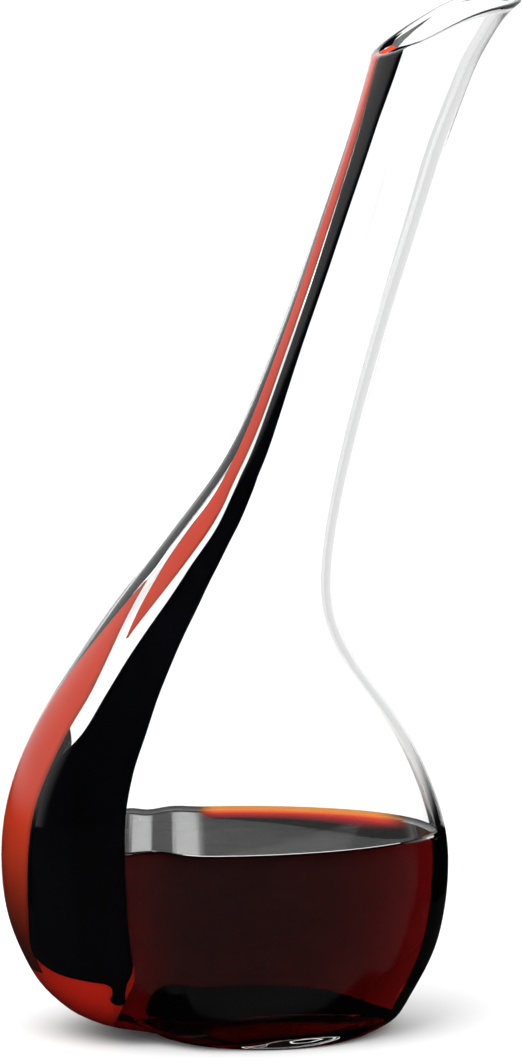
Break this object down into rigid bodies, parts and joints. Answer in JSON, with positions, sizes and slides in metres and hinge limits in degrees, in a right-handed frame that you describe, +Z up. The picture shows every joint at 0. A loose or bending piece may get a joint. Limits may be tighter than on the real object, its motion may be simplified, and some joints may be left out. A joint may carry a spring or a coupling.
{
  "type": "wine decanter",
  "caption": "Tall blown-glass wine decanter with a leaning swan neck, flared pouring lip, red and black stripes cased in the back, and wine in its bowl.",
  "frame": {"origin": "bottom centre of the whole object's box, on the surface it stands on", "axes": "+Z up, +X towards the pouring lip, -X towards the striped back"},
  "size_m": [0.1967, 0.1012, 0.3904],
  "materials": {
    "clear_crystal": "clear lead-free crystal, fire polished",
    "black_glass": "opaque black glass under clear crystal",
    "red_glass": "opaque orange-red glass under clear crystal",
    "wine": "dark red wine, still"
  },
  "bodies": {
    "root": {"crystal_vessel": "clear_crystal", "black_stripe_right": "black_glass", "black_stripe_left": "black_glass", "red_stripe_upper": "red_glass", "red_stripe_lower": "red_glass", "red_wine": "wine"}
  },
  "joints": []
}
